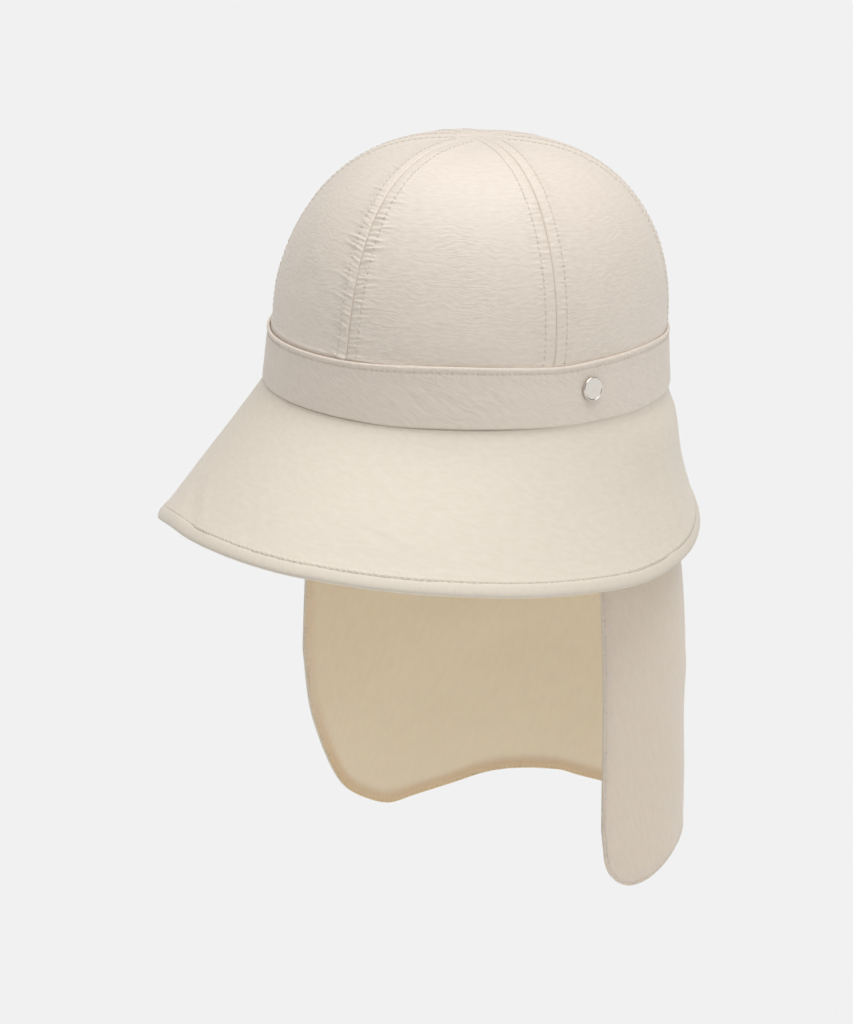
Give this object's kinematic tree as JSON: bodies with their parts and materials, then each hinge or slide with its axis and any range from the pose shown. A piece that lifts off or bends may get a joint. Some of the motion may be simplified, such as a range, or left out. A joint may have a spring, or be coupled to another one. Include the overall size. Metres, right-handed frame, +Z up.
{
  "type": "sun bonnet with neck flap",
  "caption": "Soft sun hat with a panelled round crown, a hat band with a small metal stud, a sloping brim with a corded edge, and a long neck flap behind.",
  "frame": {"origin": "centre of the head opening, level with the lower edge of the hat band", "axes": "+Z up, towards the top of the crown; -Y the front of the hat; +X the wearer's left"},
  "size_m": [0.2329, 0.2791, 0.3638],
  "materials": {
    "crown_cloth": "ivory crinkled nylon, matt with a faint sheen",
    "band_cloth": "ivory nylon, smooth, matt with a faint sheen",
    "brim_cloth": "warm cream nylon over a soft stiffener, matt",
    "edge_cloth": "warm cream nylon bound over a cord, matt",
    "flap_cloth": "beige nylon, thin, matt, warmer inside",
    "stud_metal": "polished nickel plate"
  },
  "bodies": {
    "root": {"crown_panel_left_front": "crown_cloth", "crown_panel_left_side": "crown_cloth", "crown_panel_left_back": "crown_cloth", "crown_panel_right_back": "crown_cloth", "crown_panel_right_side": "crown_cloth", "crown_panel_right_front": "crown_cloth", "band": "band_cloth", "brim": "brim_cloth", "brim_edge": "edge_cloth", "neck_flap": "flap_cloth", "stud": "stud_metal", "stud_washer": "stud_metal"}
  },
  "joints": []
}
